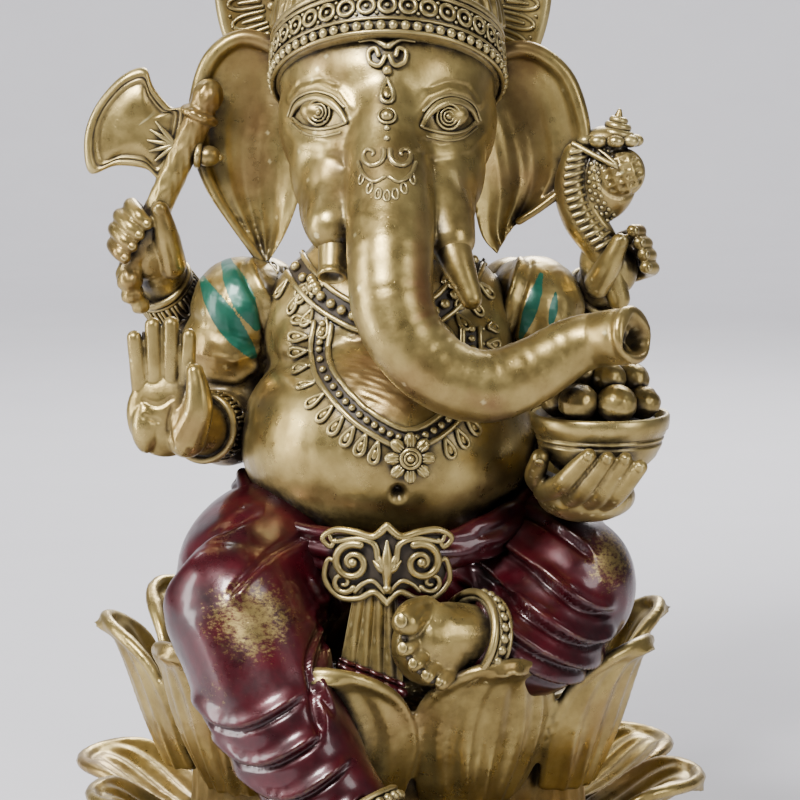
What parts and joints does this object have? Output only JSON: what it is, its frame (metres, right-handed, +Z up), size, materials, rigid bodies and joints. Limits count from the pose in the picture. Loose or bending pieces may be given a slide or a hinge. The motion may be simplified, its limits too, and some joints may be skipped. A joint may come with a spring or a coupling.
{
  "type": "ganesha idol",
  "caption": "Seated four-armed elephant-headed prayer figure on a lotus throne, free-standing on a felt-faced base.",
  "frame": {"origin": "centre of the underside of the felt pad, the face that rests on a shelf", "axes": "+Z up; the idol faces -Y; its own left side is at +X"},
  "size_m": [0.1304, 0.1378, 0.209],
  "materials": {
    "antique_gold": "rubbed antique gold over cold-cast resin, dark wash in the recesses, sea-green paint strokes on the shoulder cloth",
    "dark_gold": "dark bronze wash",
    "crimson": "glossy crimson lacquer with gold rubbed through on the knees",
    "felt": "dark felt"
  },
  "bodies": {
    "root": {"felt_pad": "felt", "lotus_drum": "dark_gold", "lotus_seat": "dark_gold", "upper_petal_ring": "antique_gold", "lower_petal_ring": "antique_gold", "torso": "antique_gold", "hips": "crimson", "right_leg": "crimson", "left_leg": "crimson", "right_foot": "antique_gold", "left_foot": "antique_gold", "waist_sash": "crimson", "belt_buckle": "antique_gold", "front_sash": "antique_gold", "neck_collar": "antique_gold", "long_necklace": "antique_gold", "flower_pendant": "antique_gold", "right_shawl": "antique_gold", "left_shawl": "antique_gold", "front_right_arm": "antique_gold", "front_left_arm": "antique_gold", "rear_right_arm": "antique_gold", "rear_left_arm": "antique_gold", "front_right_hand": "antique_gold", "front_left_hand": "antique_gold", "rear_right_hand": "antique_gold", "rear_left_hand": "antique_gold", "front_right_bracelet": "antique_gold", "front_left_bracelet": "antique_gold", "rear_right_bracelet": "antique_gold", "rear_left_bracelet": "antique_gold", "right_anklet": "antique_gold", "left_anklet": "antique_gold", "head": "antique_gold", "trunk": "antique_gold", "right_tusk": "antique_gold", "left_tusk": "antique_gold", "right_ear": "antique_gold", "left_ear": "antique_gold", "crown": "antique_gold", "crown_band": "antique_gold", "forehead_jewel": "antique_gold", "halo": "antique_gold", "axe_handle": "antique_gold", "axe_blade": "antique_gold", "axe_stud": "antique_gold", "conch": "antique_gold", "bowl": "antique_gold", "sweets": "antique_gold"}
  },
  "joints": []
}
